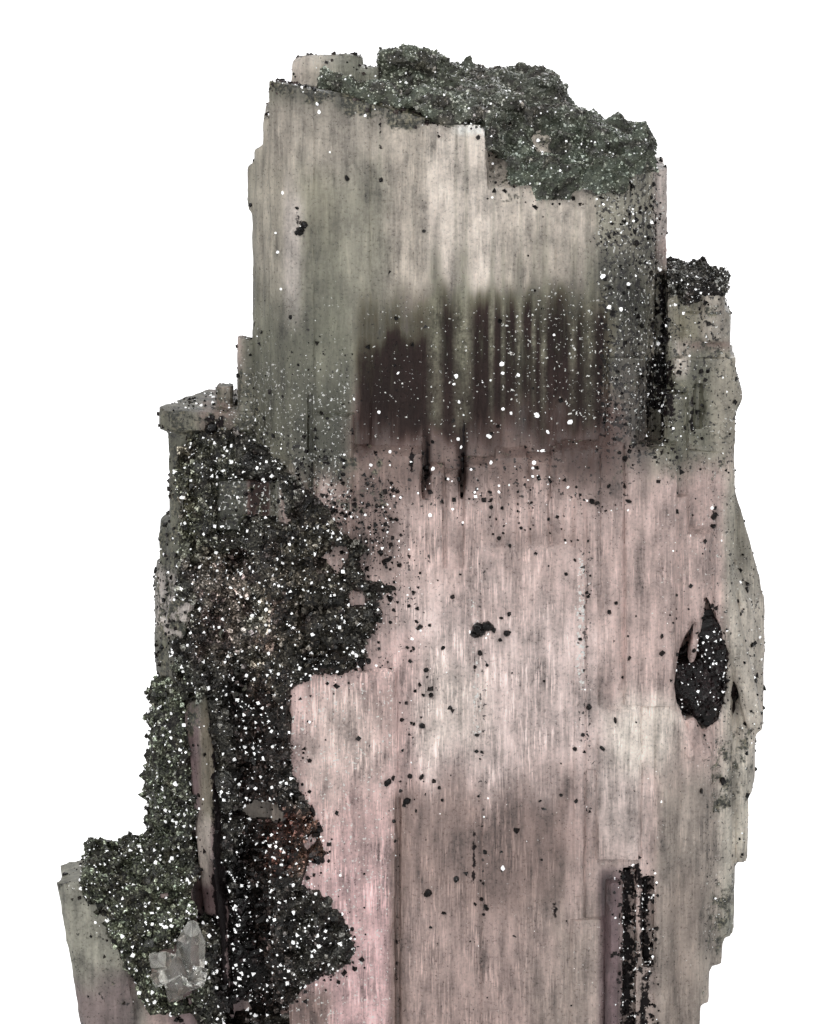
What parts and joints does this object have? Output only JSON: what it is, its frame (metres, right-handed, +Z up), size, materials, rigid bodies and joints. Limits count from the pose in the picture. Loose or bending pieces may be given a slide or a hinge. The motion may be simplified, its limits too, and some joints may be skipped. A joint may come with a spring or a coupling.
{
  "type": "anhydrite crystal",
  "caption": "Blocky upright crystal group with ribbed faces, stepped ledges and a stepped top, carrying dark glittering mineral crusts. It stands on a flat cut base.",
  "frame": {"origin": "middle of the object's box at the flat base that it stands on", "axes": "+Z up along the crystal's length, +Y from the ribbed main face towards the back, +X towards the right shoulder when seen from the front"},
  "size_m": [0.0442, 0.029, 0.0642],
  "materials": {
    "anhydrite": "translucent, pearly cleavage faces with fine upright striations",
    "clear_crystal": "clear, colourless, glassy",
    "dark_crust": "opaque, black-green, rough, glittering grains",
    "green_crust": "opaque, dark grey-green, rough, glittering grains",
    "black_crust": "opaque, black, glassy grains"
  },
  "bodies": {
    "root": {"crystal": "anhydrite", "clear_crystals": "clear_crystal", "left_crust": "dark_crust", "top_crust": "green_crust", "shoulder_crust": "dark_crust", "pocket_crust": "black_crust"}
  },
  "joints": []
}
